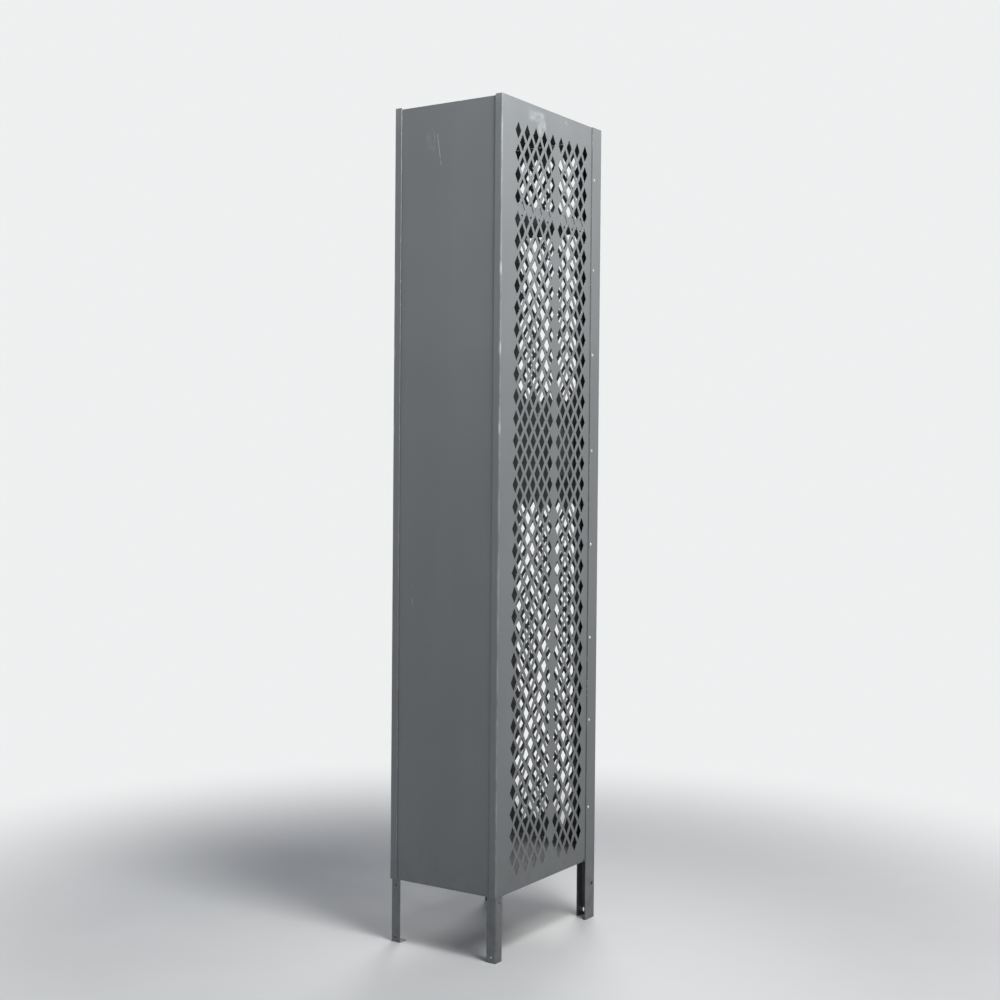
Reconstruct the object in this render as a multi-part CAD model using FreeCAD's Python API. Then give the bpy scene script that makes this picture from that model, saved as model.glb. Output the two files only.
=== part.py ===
import FreeCAD, Part
import math
import os

# Single-tier ventilated locker cabinet in painted sheet steel.
# Millimetres, +Z up, door towards -Y. The origin is on the floor, at the middle of the footprint.
# "Left" is -X and "right" is +X, as seen by a person who faces the door.

V = FreeCAD.Vector
INCH = 25.4

# ---- Overall size -------------------------------------------------------------------------
WIDTH = 11.88 * INCH
DEPTH = 18.0 * INCH
HEIGHT = 78.0 * INCH
LEG_HEIGHT = 5.95 * INCH

# ---- Sheet gauges -------------------------------------------------------------------------
SIDE_T = 1.5
BACK_T = 1.2
TRAY_T = 1.5
FRAME_T = 1.5
DOOR_T = 1.9
LEG_T = 1.9
CUP_T = 1.2
FIT_GAP = 0.1
# How far a drill or cutter starts and ends outside the sheet that it cuts.
OVER = 1.0

# ---- Hinges (their knuckles are the foremost part, so they set where the frame's face is) ---
PIN_R = 1.5
PIN_HOLE_R = 1.55
KNUCKLE_R = 2.8
AXIS_PROUD = 2.6
LEAF_T = 1.2
HINGE_HEIGHT = 2.0 * INCH
KNUCKLE_COUNT = 5
KNUCKLE_GAP = 0.3
LEAF_CLEAR = 0.4
FRAME_LEAF_REACH = 20.0
DOOR_LEAF_REACH = 18.0
PIN_HEAD_R = 2.2
PIN_HEAD_T = 0.8
HINGE_RIVET_HALF = 16.0
HINGE_RIVET_REACH = 11.0
HINGE_RIVET_HEAD = (3.4, 1.2)
HINGE_Z = {"bottom": 13.0 * INCH, "middle": 42.0 * INCH, "top": 71.0 * INCH}

# ---- Planes -------------------------------------------------------------------------------
FRONT_OVERHANG = AXIS_PROUD + KNUCKLE_R
FRONT = -(DEPTH + FRONT_OVERHANG) / 2 + FRONT_OVERHANG
BACK = FRONT + DEPTH
SIDE = WIDTH / 2
SIDE_TOP = HEIGHT - 0.06 * INCH
SIDE_INNER = SIDE - SIDE_T

# ---- Side panels --------------------------------------------------------------------------
HOLE_W = 0.98 * INCH
HOLE_H = 1.62 * INCH
HOLE_PITCH_Y = 1.5 * INCH
HOLE_PITCH_Z = 2.0 * INCH
SIDE_HOLE_FIRST = 2.72 * INCH
SIDE_HOLE_TOP = 75.1 * INCH
SIDE_COLUMNS = 9
SIDE_ROWS = 34
SOLID_STRIP = 4
PLATE_START = 1.6 * INCH
PLATE_END = 15.5 * INCH
REAR_FLANGE = 0.75 * INCH
HEM_LENGTH = 10.0
SIDE_BEND = 1.0
JOGGLE_START = 15.85 * INCH
JOGGLE_END = 16.1 * INCH
SIDE_END = 17.55 * INCH
RELIEF_HALF = 3.0
RELIEF_DEEP = 5.0

# ---- Front frame --------------------------------------------------------------------------
STILE_FACE = 1.43 * INCH
STILE_FLANGE = 1.8 * INCH
STILE_RETURN = 1.07 * INCH
JAMB = SIDE - STILE_FACE
FRAME_BEND = 1.5
OPENING_BOTTOM = 6.98 * INCH
OPENING_TOP = 77.0 * INCH
RAIL_RETURN = 0.75 * INCH
RIVET_HEIGHTS = [11.2, 19.85, 28.0, 37.2, 46.4, 55.8, 64.1, 72.9]
RIVET_FROM_EDGE = 0.4 * INCH
RIVET_R = 2.0
RIVET_HEAD = (3.7, 1.3)
RIVET_TAIL = (3.0, 1.0)
GANG_HOLE_R = 3 / 16 * INCH
GANG_HOLE_Z = 3.44 * INCH
GANG_HOLE_FROM_FRONT = 0.55 * INCH
STILE_SLOT_FROM_SIDE = 1.2 * INCH
STILE_SLOT_HALF = 2.5
STILE_SLOT_LOW = 7.0
STILE_SLOT_HIGH = 18.0
PLAIN_LEG_FACE = 22.0
LEG_CUT_DROP = 3.0

# ---- Trays: top, shelf and bottom ---------------------------------------------------------
TRAY_SKIRT = 1.0 * INCH
TRAY_BEND = 1.0
TOP_Z = 77.8 * INCH
SHELF_Z = 68.65 * INCH
FLOOR_Z = 7.1 * INCH
TRAY_FRONT = BACK - 15.8 * INCH

# ---- Back panel and rear legs -------------------------------------------------------------
HEM_T = 2 * SIDE_T
BACK_OUTER = BACK - HEM_T
BACK_INNER = BACK_OUTER - BACK_T
BACK_TOP = SIDE_TOP - 0.12 * INCH
LEG_FLANGE = 1.0 * INCH
LEG_TOP = 11.0 * INCH
FOOT_LENGTH = 1.13 * INCH
ANCHOR_R = 3 / 16 * INCH
ANCHOR_X = 134.0
ANCHOR_FROM_LEG = 16.0
LEG_HOLE_R = 1 / 8 * INCH
LEG_SIDE_HOLE_Z = 5.44 * INCH
LEG_LOW_HOLE_Z = 0.47 * INCH
LEG_HIGH_HOLE_Z = 5.4 * INCH
LEG_NOTCH = LEG_FLANGE + 1.0
FOOT_CORNER = 4.0

# ---- Door ---------------------------------------------------------------------------------
DOOR_SETBACK = 3.2
DOOR_DEPTH = 16.0
DOOR_BEND = 1.5
LATCH_GAP = 1.6
HINGE_GAP = 3.4
DOOR_FRONT = FRONT + DOOR_SETBACK
DOOR_REAR = DOOR_FRONT + DOOR_DEPTH
DOOR_LEFT = -JAMB + LATCH_GAP
DOOR_RIGHT = JAMB - HINGE_GAP
DOOR_BOTTOM = 7.08 * INCH
DOOR_TOP = 76.9 * INCH
LIP_WIDTH = 20.0
DOOR_COLUMNS = 5
UPPER_HOLE_TOP = 75.12 * INCH
UPPER_ROWS = 12
LOWER_HOLE_TOP = 40.47 * INCH
LOWER_ROWS = 16
PERFORATED_HALF = 91.0
PERFORATED_MARGIN = 20.0
AXIS_X = JAMB - HINGE_GAP / 2
AXIS_Y = FRONT - AXIS_PROUD

# ---- Latch --------------------------------------------------------------------------------
LATCH_LIFT = 13.0
BAR_T = 2.5
BAR_LEFT = DOOR_LEFT + DOOR_T + 2.1
BAR_WIDTH = 12.0
BAR_RIGHT = BAR_LEFT + BAR_WIDTH
BAR_FRONT = FRONT + 12.6
BAR_BOTTOM = 8.6 * INCH
BAR_TOP = 75.6 * INCH
HOOK_Z = {"bottom": 16.5 * INCH, "middle": 38.0 * INCH, "top": 67.0 * INCH}
FINGER_X = BAR_LEFT + BAR_WIDTH / 2
FINGER_T = 2.5
FINGER_HALF = 8.0
FINGER_ROOM = 3.0
FINGER_NOSE = 3.0
FINGER_CORNER = 2.0
LIP_SLOT_HALF_W = 4.0
LIP_SLOT_HALF_H = 11.0
HOOK_T = 2.5
HOOK_HALF = 13.0
HOOK_FRONT = FRONT + 22.0
GUIDE_Z = [20.5 * INCH, 33.0 * INCH, 55.0 * INCH, 73.5 * INCH]
GUIDE_HALF = 6.0
GUIDE_CLEAR = 0.3
GUIDE_WALL = 2.0
GUIDE_FRONT_WALL = 2.3
GUIDE_EDGE = 0.8
BUMPER_HALF = 10.0
BUMPER_FROM_DOOR = 0.6
BUMPER_TO_FINGER = 4.6
BUMPER_CLEAR = 0.4
BUMPER_EDGE = 0.9
LATCH_RIVET_HALF = 7.0
LATCH_RIVET_HEAD = (3.2, 1.2)

# ---- Handle recess ------------------------------------------------------------------------
HANDLE_Z = 46.3 * INCH
CUP_LEFT = DOOR_LEFT + 22.0
CUP_WIDTH = 60.0
CUP_RIGHT = CUP_LEFT + CUP_WIDTH
CUP_HALF = 60.0
CUP_DEPTH = 22.0
CUP_RIM = 7.0
CUP_CORNER = 7.0
CUP_CLEAR = 0.2
CUP_RIVET_HALF = 45.0
EYE_R = 4.75
EYE_Y = FRONT + 9.0
EYE_HALF = 8.0
EYE_CORNER = 4.0
ARM_HALF = 12.0
ARM_T = 2.5
ARM_FRONT = BAR_FRONT - ARM_T
ARM_CLEAR = 0.5
EAR_X = CUP_RIGHT - 29.0
SHACKLE_ROOM = 16.0
SHACKLE_HALF = 7.5
GRIP_FROM_WALL = 2.0
GRIP_SETBACK = 0.8
NOSE_R = 2.2
STAPLE_T = 3.0
STAPLE_GAP = 0.6
STAPLE_FOOT = 12.0
STAPLE_FOOT_T = 2.0

# ---- Small parts --------------------------------------------------------------------------
WALL_HOOK_FROM_BACK = 9.47 * INCH
WALL_HOOK_Z = 64.9 * INCH
WALL_HOOK_REACH = 23.0
WALL_HOOK_DROP = 15.0
WALL_BASE_HALF_W = 7.5
WALL_BASE_HALF_H = 22.0
WALL_BASE_T = 2.0
WALL_BASE_CORNER = 6.0
HOOK_WIRE_R = 2.75
HOOK_BALL_R = 4.2
CEILING_BASE_R = 13.0
CEILING_BASE_T = 2.5
CEILING_NECK_R = 5.0
CEILING_NECK_DROP = 12.0
CEILING_DROP = 26.0
CEILING_BORE = 9.0
PLATE_W = 62.0
PLATE_H = 20.0
PLATE_T = 0.8
PLATE_Z = 50.15 * INCH
PLATE_CORNER = 3.0
PLATE_RIVET_INSET = 5.0
SCREW_R = 2.5
SCREW_HEAD = (5.0, 2.0)
SMALL_RIVET_R = 1.5
SMALL_RIVET_HEAD = (2.8, 0.9)
SMALL_RIVET_TAIL = (2.3, 0.8)


# ---- Drawing helpers ----------------------------------------------------------------------
def place(plane, a, b, c):
    """The point (a, b) of a plane, at c along the third axis."""
    if plane == "XY":
        return V(a, b, c)
    if plane == "YZ":
        return V(c, a, b)
    return V(a, c, b)


def box(x0, x1, y0, y1, z0, z1):
    """A box given by its limits along each axis."""
    return Part.makeBox(x1 - x0, y1 - y0, z1 - z0, V(x0, y0, z0))


def rod(radius, start, end):
    """A round rod from start to end."""
    return Part.makeCylinder(radius, (end - start).Length, start, end - start)


def fuse(shapes):
    """One shape from several that touch, with its coplanar faces merged."""
    joined = shapes[0].multiFuse(shapes[1:])
    return joined.removeSplitter()


def mirrored(shape):
    """The same shape on the other side of the cabinet's middle plane."""
    return shape.mirror(V(0, 0, 0), V(1, 0, 0))


def rounded_edges(points, radii, plane, c):
    """Lines through the points, with a tangent arc at each inner one."""
    edges = []
    start = points[0]
    for before, corner, after, radius in zip(points, points[1:], points[2:], radii):
        back = (before - corner).normalize()
        ahead = (after - corner).normalize()
        half = back.getAngle(ahead) / 2
        middle = (back + ahead).normalize()
        enter = corner + back * (radius / math.tan(half))
        leave = corner + ahead * (radius / math.tan(half))
        top = corner + middle * (radius / math.sin(half) - radius)
        ends = [place(plane, p.x, p.y, c) for p in (start, enter, top, leave)]
        edges.append(Part.makeLine(ends[0], ends[1]))
        edges.append(Part.Arc(ends[1], ends[2], ends[3]).toShape())
        start = leave
    first = place(plane, start.x, start.y, c)
    last = place(plane, points[-1].x, points[-1].y, c)
    edges.append(Part.makeLine(first, last))
    return edges


def offset_path(points, distance):
    """A path beside another, at a distance to its left."""
    normals = []
    for a, b in zip(points, points[1:]):
        along = (b - a).normalize()
        normals.append(V(-along.y, along.x, 0))
    moved = [points[0] + normals[0] * distance]
    for n1, n2, corner in zip(normals, normals[1:], points[1:]):
        mitre = n1 + n2
        moved.append(corner + mitre * (2 * distance / mitre.dot(mitre)))
    moved.append(points[-1] + normals[-1] * distance)
    return moved


def bent_sheet(path, thickness, bend, plane, start, end):
    """Folded sheet: a path across its bends, thickened to the left and extruded."""
    points = [V(a, b, 0) for a, b in path]
    other = offset_path(points, thickness)
    near = []
    far = []
    for a, b, c in zip(points, points[1:], points[2:]):
        turns_left = (b - a).cross(c - b).z > 0
        near.append(bend + thickness if turns_left else bend)
        far.append(bend if turns_left else bend + thickness)
    edges = rounded_edges(points, near, plane, start)
    back = rounded_edges(other, far, plane, start)
    edges.append(Part.makeLine(edges[-1].Vertexes[-1].Point, back[-1].Vertexes[-1].Point))
    edges.extend(back[::-1])
    edges.append(Part.makeLine(back[0].Vertexes[0].Point, edges[0].Vertexes[0].Point))
    face = Part.Face(Part.Wire(Part.__sortEdges__(edges)))
    return face.extrude(place(plane, 0, 0, end - start))


def rounded_plate(plane, a0, a1, b0, b1, c0, c1, radius):
    """A plate with four rounded corners, from c0 to c1 along its normal."""
    middle = (a0 + a1) / 2
    corners = [(middle, b0), (a1, b0), (a1, b1), (a0, b1), (a0, b0), (middle, b0)]
    points = [V(a, b, 0) for a, b in corners]
    edges = rounded_edges(points, [radius] * 4, plane, c0)
    face = Part.Face(Part.Wire(edges))
    return face.extrude(place(plane, 0, 0, c1 - c0))


def diamond(plane, a, b, c):
    """Outline of one diamond hole."""
    tips = [(a - HOLE_W / 2, b), (a, b - HOLE_H / 2), (a + HOLE_W / 2, b), (a, b + HOLE_H / 2)]
    points = [place(plane, p, q, c) for p, q in tips]
    return Part.makePolygon(points + points[:1])


def perforated_plate(plane, a0, a1, b0, b1, c0, c1, centres):
    """A rectangular plate with a diamond hole at each centre."""
    corners = [(a0, b0), (a1, b0), (a1, b1), (a0, b1), (a0, b0)]
    outline = Part.makePolygon([place(plane, a, b, c0) for a, b in corners])
    holes = [diamond(plane, a, b, c0) for a, b in centres]
    face = Part.Face([outline] + holes)
    return face.extrude(place(plane, 0, 0, c1 - c0))


def edges_within(shape, low, high):
    """Edges that lie wholly inside a box, give or take half a millimetre."""
    room = FreeCAD.BoundBox(*low, *high)
    room.enlarge(0.5)
    return [edge for edge in shape.Edges if room.isInside(edge.BoundBox)]


def dome_rivet(centre, out, head, shank_r, grip, tail=None):
    """A rivet: domed head outside, shank through the grip, flat tail behind if any.

    Head and tail are each a radius and a height.
    """
    head_r, head_h = head
    if tail is None:
        outline = [V(0, 0, -grip), V(shank_r, 0, -grip)]
    else:
        tail_r, tail_h = tail
        low = -grip - tail_h
        outline = [V(0, 0, low), V(tail_r, 0, low), V(tail_r, 0, -grip), V(shank_r, 0, -grip)]
    outline += [V(shank_r, 0, 0), V(head_r, 0, 0)]
    edges = [Part.makeLine(a, b) for a, b in zip(outline, outline[1:])]
    ball_r = (head_r ** 2 + head_h ** 2) / (2 * head_h)
    half_x = head_r / 2
    half_z = head_h - ball_r + math.sqrt(ball_r ** 2 - half_x ** 2)
    top = V(0, 0, head_h)
    edges.append(Part.Arc(outline[-1], V(half_x, 0, half_z), top).toShape())
    edges.append(Part.makeLine(top, outline[0]))
    rivet = Part.Face(Part.Wire(edges)).revolve(V(0, 0, 0), V(0, 0, 1), 360)
    turn = FreeCAD.Rotation(V(0, 0, 1), out)
    return rivet.transformGeometry(FreeCAD.Placement(centre, turn).toMatrix())


# ---- Side panels and back -----------------------------------------------------------------
def side_hole_centres():
    """Two interleaved grids of holes, with one column left solid for the wall hook."""
    centres = []
    for row in range(SIDE_ROWS):
        z = SIDE_HOLE_TOP - row * HOLE_PITCH_Z
        for column in range(SIDE_COLUMNS):
            y = BACK - SIDE_HOLE_FIRST - column * HOLE_PITCH_Y
            centres.append((y, z))
            between = y - HOLE_PITCH_Y / 2
            if column not in (SOLID_STRIP, SIDE_COLUMNS - 1):
                centres.append((between, z - HOLE_PITCH_Z / 2))
    return centres


def side_rear_strip():
    """The panel's rear edge, folded round onto the back and hemmed."""
    path = [(-SIDE + REAR_FLANGE - SIDE_T, BACK), (-SIDE, BACK), (-SIDE, BACK - PLATE_START)]
    fold = bent_sheet(path, SIDE_T, SIDE_BEND, "XY", LEG_HEIGHT, SIDE_TOP)
    hem_x = -SIDE + REAR_FLANGE - SIDE_T
    hem = box(hem_x - HEM_LENGTH, hem_x, BACK_OUTER, BACK - SIDE_T, LEG_HEIGHT, SIDE_TOP)
    roll = rod(SIDE_T, V(hem_x, BACK - SIDE_T, LEG_HEIGHT), V(hem_x, BACK - SIDE_T, SIDE_TOP))
    return fuse([fold, hem, roll])


def side_front_strip():
    """The panel's front edge, stepped in by one sheet so that the frame lies flush over it."""
    path = [
        (-SIDE, BACK - PLATE_END),
        (-SIDE, BACK - JOGGLE_START),
        (-SIDE_INNER, BACK - JOGGLE_END),
        (-SIDE_INNER, BACK - SIDE_END),
    ]
    strip = bent_sheet(path, SIDE_T, SIDE_BEND, "XY", LEG_HEIGHT, SIDE_TOP)
    middle = BACK - JOGGLE_START
    relief = box(-SIDE - OVER, -SIDE + RELIEF_DEEP, middle - RELIEF_HALF, middle + RELIEF_HALF,
                 LEG_HEIGHT - OVER, LEG_HEIGHT + RELIEF_DEEP)
    return strip.cut(relief)


def rivet_points():
    """Where the frame is riveted to the left side panel, on the panel's outer plane."""
    y = FRONT + STILE_FLANGE - RIVET_FROM_EDGE
    return [V(-SIDE, y, height * INCH) for height in RIVET_HEIGHTS]


def rivet_holes(reach):
    """Rods that drill the left rivet holes, from outside to the given depth."""
    return [rod(RIVET_R, p - V(OVER, 0, 0), p + V(reach, 0, 0)) for p in rivet_points()]


def side_panel_left():
    """Perforated side with its rear flange and its joggled front edge."""
    plate = perforated_plate(
        "YZ", BACK - PLATE_END, BACK - PLATE_START, LEG_HEIGHT, SIDE_TOP,
        -SIDE, -SIDE_INNER, side_hole_centres(),
    )
    front = side_front_strip().cut(rivet_holes(2 * SIDE_T + OVER))
    return fuse([plate, side_rear_strip(), front])


def back_panel():
    """Plain sheet between the two side panels, under their rear flanges."""
    half = SIDE_INNER - FIT_GAP
    return box(-half, half, BACK_INNER, BACK_OUTER, LEG_HEIGHT, BACK_TOP)


# ---- Trays --------------------------------------------------------------------------------
def tray(top):
    """A sheet folded down on all four sides."""
    half = SIDE_INNER - FIT_GAP
    rear = BACK_INNER - FIT_GAP
    low = top - TRAY_SKIRT
    outer = box(-half, half, TRAY_FRONT, rear, low, top)
    rim = edges_within(outer, (-half, TRAY_FRONT, top), (half, rear, top))
    outer = outer.makeFillet(TRAY_BEND + TRAY_T, rim)
    t = TRAY_T
    inner = box(-half + t, half - t, TRAY_FRONT + t, rear - t, low - OVER, top - t)
    rim = edges_within(inner, (-half, TRAY_FRONT, top - t), (half, rear, top - t))
    return outer.cut(inner.makeFillet(TRAY_BEND, rim))


def floor_tray():
    """The locker's floor, notched at its rear corners round the legs."""
    notch = box(-SIDE_INNER, -SIDE_INNER + LEG_NOTCH, BACK_INNER - LEG_NOTCH, BACK_INNER,
                LEG_HEIGHT - OVER, FLOOR_Z + OVER)
    return tray(FLOOR_Z).cut([notch, mirrored(notch)])


def hat_shelf():
    """The shelf, with a hole for the ceiling hook's screw."""
    middle = V(0, (TRAY_FRONT + BACK_INNER) / 2, SHELF_Z)
    down = V(0, 0, TRAY_T + OVER)
    return tray(SHELF_Z).cut(rod(SCREW_R, middle - down, middle + V(0, 0, OVER)))


# ---- Front frame --------------------------------------------------------------------------
def stile_left():
    """Channel upright that runs down to the floor as the front leg."""
    path = [
        (-SIDE, FRONT + STILE_FLANGE),
        (-SIDE, FRONT),
        (-JAMB, FRONT),
        (-JAMB, FRONT + STILE_RETURN),
    ]
    channel = bent_sheet(path, FRAME_T, FRAME_BEND, "XY", 0, HEIGHT - FRAME_T)
    gang_y = FRONT + GANG_HOLE_FROM_FRONT
    gang = rod(GANG_HOLE_R, V(-SIDE - OVER, gang_y, GANG_HOLE_Z),
               V(-SIDE + FRAME_T + OVER, gang_y, GANG_HOLE_Z))
    slot_x = -SIDE + STILE_SLOT_FROM_SIDE
    slot = rounded_plate("XZ", slot_x - STILE_SLOT_HALF, slot_x + STILE_SLOT_HALF,
                         STILE_SLOT_LOW, STILE_SLOT_HIGH, FRONT - OVER, FRONT + FRAME_T + OVER,
                         STILE_SLOT_HALF - FIT_GAP)
    return channel.cut([gang, slot] + rivet_holes(FRAME_T + OVER))


def stile_right():
    """The mirrored upright; below the body its leg is a plain narrow angle."""
    trim = box(0, SIDE - PLAIN_LEG_FACE, FRONT - OVER, BACK, -OVER, LEG_HEIGHT - LEG_CUT_DROP)
    return mirrored(stile_left()).cut(trim)


def frame_top_rail():
    """Top cross member; its flange caps the stiles and reaches back to the top tray."""
    path = [
        (TRAY_FRONT - FIT_GAP, HEIGHT),
        (FRONT, HEIGHT),
        (FRONT, OPENING_TOP),
        (FRONT + RAIL_RETURN, OPENING_TOP),
    ]
    fold = bent_sheet(path, FRAME_T, FRAME_BEND, "YZ", -JAMB, JAMB)
    wing = rail_wing(HEIGHT - FRAME_T)
    corner = FRAME_T + FRAME_BEND
    cap = rounded_plate("XY", -SIDE, -JAMB + 2 * corner, FRONT, FRONT + STILE_FLANGE + corner,
                        HEIGHT - FRAME_T, HEIGHT, corner)
    beyond_jamb = box(-JAMB, 0, FRONT - OVER, BACK, LEG_HEIGHT, HEIGHT + OVER)
    beyond_flange = box(-SIDE - OVER, 0, FRONT + STILE_FLANGE, BACK, LEG_HEIGHT, HEIGHT + OVER)
    cap = cap.cut([beyond_jamb, beyond_flange])
    return fuse([fold, wing, cap, mirrored(cap)])


def frame_bottom_rail():
    """Bottom cross member; its flange is the door sill, level with the floor tray."""
    path = [
        (TRAY_FRONT - FIT_GAP, OPENING_BOTTOM),
        (FRONT, OPENING_BOTTOM),
        (FRONT, LEG_HEIGHT),
        (FRONT + RAIL_RETURN, LEG_HEIGHT),
    ]
    fold = bent_sheet(path, FRAME_T, FRAME_BEND, "YZ", -JAMB, JAMB)
    wing = rail_wing(OPENING_BOTTOM - FRAME_T)
    return fuse([fold, wing])


def rail_wing(low):
    """The wide part of a rail's flange, behind the stiles and between the side panels."""
    half = SIDE_INNER - SIDE_T - FIT_GAP
    front = FRONT + STILE_RETURN + FIT_GAP
    return box(-half, half, front, TRAY_FRONT - FIT_GAP, low, low + FRAME_T)


def frame_rivets_left():
    """Rivets through the stile's side flange and the side panel."""
    out = V(-1, 0, 0)
    rivets = []
    for point in rivet_points():
        rivets.append(dome_rivet(point, out, RIVET_HEAD, RIVET_R, FRAME_T + SIDE_T, RIVET_TAIL))
    return Part.makeCompound(rivets)


# ---- Rear legs ----------------------------------------------------------------------------
def rear_leg_left():
    """Angle inside the rear corner, with a foot folded forward along the floor."""
    corner_x = -SIDE_INNER
    corner_y = BACK_INNER
    path = [
        (corner_x + LEG_FLANGE, corner_y),
        (corner_x, corner_y),
        (corner_x, corner_y - LEG_FLANGE),
    ]
    angle = bent_sheet(path, LEG_T, FRAME_BEND, "XY", LEG_T / 2, LEG_TOP)
    foot = box(corner_x, corner_x + LEG_FLANGE, corner_y - FOOT_LENGTH, corner_y, 0, LEG_T)
    toe_y = corner_y - FOOT_LENGTH
    toe = edges_within(foot, (corner_x, toe_y, 0), (corner_x + LEG_FLANGE, toe_y, LEG_T))
    uprights = [edge for edge in toe if edge.Vertexes[0].Z != edge.Vertexes[-1].Z]
    foot = foot.makeFillet(FOOT_CORNER, uprights)
    anchor = V(-ANCHOR_X, corner_y - ANCHOR_FROM_LEG, 0)
    drills = [
        rod(ANCHOR_R, anchor - V(0, 0, OVER), anchor + V(0, 0, LEG_T + OVER)),
        leg_side_hole(LEG_SIDE_HOLE_Z),
        leg_back_hole(LEG_LOW_HOLE_Z),
    ]
    return fuse([angle, foot]).cut(drills)


def leg_side_hole(z):
    """Drill for the left leg's side flange."""
    y = BACK_INNER - LEG_FLANGE / 2
    return rod(LEG_HOLE_R, V(-SIDE_INNER - OVER, y, z), V(-SIDE_INNER + LEG_T + OVER, y, z))


def leg_back_hole(z):
    """Drill for the left leg's back flange."""
    x = -SIDE_INNER + LEG_FLANGE / 2
    return rod(LEG_HOLE_R, V(x, BACK_INNER + OVER, z), V(x, BACK_INNER - LEG_T - OVER, z))


def rear_leg_right():
    """The mirrored leg, with one more hole near the top of its back flange."""
    return mirrored(rear_leg_left().cut(leg_back_hole(LEG_HIGH_HOLE_Z)))


# ---- Door ---------------------------------------------------------------------------------
def door_hole_centres():
    """The door's two perforated zones, above and below the plain band of the handle."""
    centres = []
    for top, rows in ((UPPER_HOLE_TOP, UPPER_ROWS), (LOWER_HOLE_TOP, LOWER_ROWS)):
        for row in range(rows):
            z = top - row * HOLE_PITCH_Z
            for column in range(DOOR_COLUMNS):
                x = (column - (DOOR_COLUMNS - 1) / 2) * HOLE_PITCH_Y
                centres.append((x, z))
                if column < DOOR_COLUMNS - 1:
                    centres.append((x + HOLE_PITCH_Y / 2, z - HOLE_PITCH_Z / 2))
    return centres


def door_pan():
    """Door sheet folded back on all four sides, before it is perforated."""
    outer = box(DOOR_LEFT, DOOR_RIGHT, DOOR_FRONT, DOOR_REAR, DOOR_BOTTOM, DOOR_TOP)
    rim = edges_within(outer, (DOOR_LEFT, DOOR_FRONT, DOOR_BOTTOM),
                       (DOOR_RIGHT, DOOR_FRONT, DOOR_TOP))
    outer = outer.makeFillet(DOOR_BEND + DOOR_T, rim)
    t = DOOR_T
    inner = box(DOOR_LEFT + t, DOOR_RIGHT - t, DOOR_FRONT + t, DOOR_REAR + OVER,
                DOOR_BOTTOM + t, DOOR_TOP - t)
    rim = edges_within(inner, (DOOR_LEFT, DOOR_FRONT + t, DOOR_BOTTOM),
                       (DOOR_RIGHT, DOOR_FRONT + t, DOOR_TOP))
    return outer.cut(inner.makeFillet(DOOR_BEND, rim))


def door_latch_lip():
    """Return lip that closes the latch side into a channel, with a slot at each frame hook."""
    lip = box(DOOR_LEFT + DOOR_T, DOOR_LEFT + LIP_WIDTH, DOOR_REAR - DOOR_T, DOOR_REAR,
              DOOR_BOTTOM + DOOR_T, DOOR_TOP - DOOR_T)
    slots = []
    for z in HOOK_Z.values():
        slots.append(rounded_plate("XZ", FINGER_X - LIP_SLOT_HALF_W, FINGER_X + LIP_SLOT_HALF_W,
                                   z - LIP_SLOT_HALF_H, z + LIP_SLOT_HALF_H,
                                   DOOR_REAR - DOOR_T - OVER, DOOR_REAR + OVER, 2.0))
    return lip.cut(slots)


def door_skin():
    """The whole door sheet: pan, latch lip, perforations and cut-outs."""
    half = PERFORATED_HALF
    low = DOOR_BOTTOM + PERFORATED_MARGIN
    high = DOOR_TOP - PERFORATED_MARGIN
    inside = DOOR_FRONT + DOOR_T
    window = box(-half, half, DOOR_FRONT - OVER, inside + OVER, low, high)
    plate = perforated_plate("XZ", -half, half, low, high, DOOR_FRONT, inside,
                             door_hole_centres())
    whole = fuse([door_pan().cut(window), door_latch_lip(), plate])
    tall = CUP_HALF + CUP_CLEAR
    cutter = rounded_plate("XZ", CUP_LEFT - CUP_CLEAR, CUP_RIGHT + CUP_CLEAR, HANDLE_Z - tall,
                           HANDLE_Z + tall, DOOR_FRONT - OVER, inside + OVER, CUP_CORNER)
    drills = [cutter] + hinge_rivet_drills() + face_rivet_drills()
    return whole.cut(drills)


# ---- Handle recess and latch --------------------------------------------------------------
def handle_cup():
    """Recessed pocket in the door face, with a rim and a slot for the latch arm."""
    rim = rounded_plate("XZ", CUP_LEFT - CUP_RIM, CUP_RIGHT + CUP_RIM,
                        HANDLE_Z - CUP_HALF - CUP_RIM, HANDLE_Z + CUP_HALF + CUP_RIM,
                        DOOR_FRONT - CUP_T, DOOR_FRONT, CUP_CORNER + CUP_RIM / 2)
    pocket = rounded_plate("XZ", CUP_LEFT, CUP_RIGHT, HANDLE_Z - CUP_HALF, HANDLE_Z + CUP_HALF,
                           DOOR_FRONT - CUP_T, DOOR_FRONT + CUP_DEPTH, CUP_CORNER)
    t = CUP_T
    tall = CUP_HALF - t
    hollow = rounded_plate("XZ", CUP_LEFT + t, CUP_RIGHT - t, HANDLE_Z - tall, HANDLE_Z + tall,
                           DOOR_FRONT - t - OVER, DOOR_FRONT + CUP_DEPTH - t, CUP_CORNER - t)
    slot = box(CUP_LEFT - OVER, CUP_LEFT + t + OVER, ARM_FRONT - ARM_CLEAR,
               ARM_FRONT + ARM_T + ARM_CLEAR, HANDLE_Z - ARM_HALF - OVER,
               HANDLE_Z + ARM_HALF + LATCH_LIFT + OVER)
    return fuse([rim, pocket]).cut([hollow, slot] + face_rivet_drills())


def eye_plate(x0, x1, front, rear):
    """A plate across the recess, rounded in front and square behind, with the padlock's hole."""
    low = HANDLE_Z - ARM_HALF
    high = HANDLE_Z + ARM_HALF
    plate = rounded_plate("YZ", front, rear + EYE_CORNER, low, high, x0, x1, EYE_CORNER)
    behind = box(x0 - OVER, x1 + OVER, rear, rear + EYE_CORNER + OVER, low - OVER, high + OVER)
    hole = rod(EYE_R, V(x0 - OVER, EYE_Y, HANDLE_Z), V(x1 + OVER, EYE_Y, HANDLE_Z))
    return plate.cut([behind, hole])


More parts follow.
